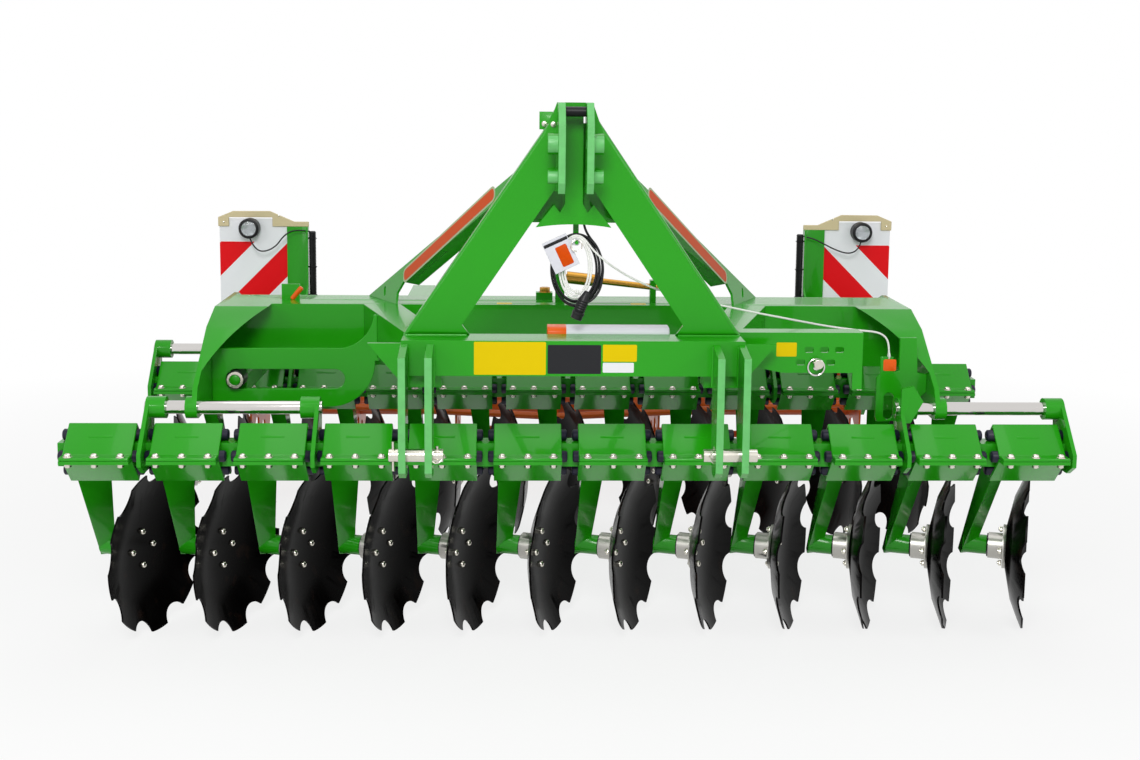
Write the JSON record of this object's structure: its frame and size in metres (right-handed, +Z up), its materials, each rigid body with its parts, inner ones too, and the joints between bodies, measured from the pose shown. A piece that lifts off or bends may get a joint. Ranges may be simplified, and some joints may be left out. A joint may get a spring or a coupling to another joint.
{
  "type": "mounted disc harrow",
  "caption": "Tractor-mounted compact disc harrow with two rows of notched discs on rubber-sprung arms, a three-point headstock, lateral slides and a raised cage roller.",
  "frame": {"origin": "centre of the bounding box in plan, at the level of the discs' lower rims", "axes": "+Z up, +Y towards the roller at the rear, +X to the right in the front view; the hitch faces -Y"},
  "size_m": [3.0751, 2.52, 1.658],
  "materials": {
    "green_paint": "semi-gloss",
    "black_steel": "semi-gloss",
    "plated_steel": "satin",
    "bright_steel": "polished",
    "cream_paint": "satin",
    "board_sheet": "satin",
    "black_plastic": "matte",
    "white_plastic": "matte",
    "orange_paint": "semi-gloss",
    "black_rubber": "matte",
    "white_rope": "matte",
    "disc_steel": "semi-gloss"
  },
  "bodies": {
    "frame": {"main_beam": "green_paint", "side_plates": "green_paint", "slot_plate": "green_paint", "headstock_beam": "green_paint", "mast": "green_paint", "top_link_plates": "green_paint", "spacer_sleeve": "black_steel", "lower_link_plates": "green_paint", "braces": "green_paint", "stop_bracket": "green_paint", "steel_pins": "plated_steel", "spindle_rod": "plated_steel", "latch_plate": "green_paint", "board_posts": "green_paint", "board_caps": "cream_paint", "warning_boards": "board_sheet", "round_lamps": "black_plastic", "document_case": "white_plastic", "document_pouch": "white_plastic", "cable_coil": "black_plastic", "cable_plug": "black_plastic", "rope_hank": "white_rope", "pull_rope": "white_rope", "rear_frame": "green_paint"},
    "front_row": {"front_row_beam": "green_paint", "front_slide_bars": "bright_steel", "front_upper_clamps": "green_paint", "front_arms": "green_paint", "front_rubber_cords": "black_rubber"},
    "rear_row": {"rear_row_beam": "green_paint", "rear_slide_bars": "bright_steel", "rear_upper_clamps": "green_paint", "rear_arms": "green_paint", "rear_rubber_cords": "black_rubber", "offset_bushing": "black_steel"},
    "roller": {"cage_roller": "orange_paint"},
    "front_disc_01": {"front_disc_01": "disc_steel"},
    "front_disc_02": {"front_disc_02": "disc_steel"},
    "front_disc_03": {"front_disc_03": "disc_steel"},
    "front_disc_04": {"front_disc_04": "disc_steel"},
    "front_disc_05": {"front_disc_05": "disc_steel"},
    "front_disc_06": {"front_disc_06": "disc_steel"},
    "front_disc_07": {"front_disc_07": "disc_steel"},
    "front_disc_08": {"front_disc_08": "disc_steel"},
    "front_disc_09": {"front_disc_09": "disc_steel"},
    "front_disc_10": {"front_disc_10": "disc_steel"},
    "front_disc_11": {"front_disc_11": "disc_steel"},
    "front_disc_12": {"front_disc_12": "disc_steel"},
    "rear_disc_01": {"rear_disc_01": "disc_steel"},
    "rear_disc_02": {"rear_disc_02": "disc_steel"},
    "rear_disc_03": {"rear_disc_03": "disc_steel"},
    "rear_disc_04": {"rear_disc_04": "disc_steel"},
    "rear_disc_05": {"rear_disc_05": "disc_steel"},
    "rear_disc_06": {"rear_disc_06": "disc_steel"},
    "rear_disc_07": {"rear_disc_07": "disc_steel"},
    "rear_disc_08": {"rear_disc_08": "disc_steel"},
    "rear_disc_09": {"rear_disc_09": "disc_steel"},
    "rear_disc_10": {"rear_disc_10": "disc_steel"},
    "rear_disc_11": {"rear_disc_11": "disc_steel"},
    "rear_disc_12": {"rear_disc_12": "disc_steel"}
  },
  "joints": [
    {"name": "front_row_offset", "type": "slide", "parent": "frame", "child": "front_row", "axis": [1, 0, 0], "range_m": [-0.275, 0.04]},
    {"name": "rear_row_offset", "type": "slide", "parent": "frame", "child": "rear_row", "axis": [1, 0, 0], "range_m": [0, 0.255]},
    {"name": "roller_turn", "type": "hinge", "parent": "frame", "child": "roller", "pos_m": [0, 1, 0.36], "axis": [1, 0, 0], "continuous": true},
    {"name": "front_disc_01_turn", "type": "hinge", "parent": "front_row", "child": "front_disc_01", "pos_m": [-1.35, -0.67, 0.255], "axis": [0.9397, -0.342, 0], "continuous": true},
    {"name": "front_disc_02_turn", "type": "hinge", "parent": "front_row", "child": "front_disc_02", "pos_m": [-1.1, -0.67, 0.255], "axis": [0.9397, -0.342, 0], "continuous": true},
    {"name": "front_disc_03_turn", "type": "hinge", "parent": "front_row", "child": "front_disc_03", "pos_m": [-0.85, -0.67, 0.255], "axis": [0.9397, -0.342, 0], "continuous": true},
    {"name": "front_disc_04_turn", "type": "hinge", "parent": "front_row", "child": "front_disc_04", "pos_m": [-0.6, -0.67, 0.255], "axis": [0.9397, -0.342, 0], "continuous": true},
    {"name": "front_disc_05_turn", "type": "hinge", "parent": "front_row", "child": "front_disc_05", "pos_m": [-0.35, -0.67, 0.255], "axis": [0.9397, -0.342, 0], "continuous": true},
    {"name": "front_disc_06_turn", "type": "hinge", "parent": "front_row", "child": "front_disc_06", "pos_m": [-0.1, -0.67, 0.255], "axis": [0.9397, -0.342, 0], "continuous": true},
    {"name": "front_disc_07_turn", "type": "hinge", "parent": "front_row", "child": "front_disc_07", "pos_m": [0.15, -0.67, 0.255], "axis": [0.9397, -0.342, 0], "continuous": true},
    {"name": "front_disc_08_turn", "type": "hinge", "parent": "front_row", "child": "front_disc_08", "pos_m": [0.4, -0.67, 0.255], "axis": [0.9397, -0.342, 0], "continuous": true},
    {"name": "front_disc_09_turn", "type": "hinge", "parent": "front_row", "child": "front_disc_09", "pos_m": [0.65, -0.67, 0.255], "axis": [0.9397, -0.342, 0], "continuous": true},
    {"name": "front_disc_10_turn", "type": "hinge", "parent": "front_row", "child": "front_disc_10", "pos_m": [0.9, -0.67, 0.255], "axis": [0.9397, -0.342, 0], "continuous": true},
    {"name": "front_disc_11_turn", "type": "hinge", "parent": "front_row", "child": "front_disc_11", "pos_m": [1.15, -0.67, 0.255], "axis": [0.9397, -0.342, 0], "continuous": true},
    {"name": "front_disc_12_turn", "type": "hinge", "parent": "front_row", "child": "front_disc_12", "pos_m": [1.4, -0.67, 0.255], "axis": [0.9397, -0.342, 0], "continuous": true},
    {"name": "rear_disc_01_turn", "type": "hinge", "parent": "rear_row", "child": "rear_disc_01", "pos_m": [-1.4, 0.33, 0.255], "axis": [-0.9659, -0.2588, 0], "continuous": true},
    {"name": "rear_disc_02_turn", "type": "hinge", "parent": "rear_row", "child": "rear_disc_02", "pos_m": [-1.15, 0.33, 0.255], "axis": [-0.9659, -0.2588, 0], "continuous": true},
    {"name": "rear_disc_03_turn", "type": "hinge", "parent": "rear_row", "child": "rear_disc_03", "pos_m": [-0.9, 0.33, 0.255], "axis": [-0.9659, -0.2588, 0], "continuous": true},
    {"name": "rear_disc_04_turn", "type": "hinge", "parent": "rear_row", "child": "rear_disc_04", "pos_m": [-0.65, 0.33, 0.255], "axis": [-0.9659, -0.2588, 0], "continuous": true},
    {"name": "rear_disc_05_turn", "type": "hinge", "parent": "rear_row", "child": "rear_disc_05", "pos_m": [-0.4, 0.33, 0.255], "axis": [-0.9659, -0.2588, 0], "continuous": true},
    {"name": "rear_disc_06_turn", "type": "hinge", "parent": "rear_row", "child": "rear_disc_06", "pos_m": [-0.15, 0.33, 0.255], "axis": [-0.9659, -0.2588, 0], "continuous": true},
    {"name": "rear_disc_07_turn", "type": "hinge", "parent": "rear_row", "child": "rear_disc_07", "pos_m": [0.1, 0.33, 0.255], "axis": [-0.9659, -0.2588, 0], "continuous": true},
    {"name": "rear_disc_08_turn", "type": "hinge", "parent": "rear_row", "child": "rear_disc_08", "pos_m": [0.35, 0.33, 0.255], "axis": [-0.9659, -0.2588, 0], "continuous": true},
    {"name": "rear_disc_09_turn", "type": "hinge", "parent": "rear_row", "child": "rear_disc_09", "pos_m": [0.6, 0.33, 0.255], "axis": [-0.9659, -0.2588, 0], "continuous": true},
    {"name": "rear_disc_10_turn", "type": "hinge", "parent": "rear_row", "child": "rear_disc_10", "pos_m": [0.85, 0.33, 0.255], "axis": [-0.9659, -0.2588, 0], "continuous": true},
    {"name": "rear_disc_11_turn", "type": "hinge", "parent": "rear_row", "child": "rear_disc_11", "pos_m": [1.1, 0.33, 0.255], "axis": [-0.9659, -0.2588, 0], "continuous": true},
    {"name": "rear_disc_12_turn", "type": "hinge", "parent": "rear_row", "child": "rear_disc_12", "pos_m": [1.35, 0.33, 0.255], "axis": [-0.9659, -0.2588, 0], "continuous": true}
  ]
}
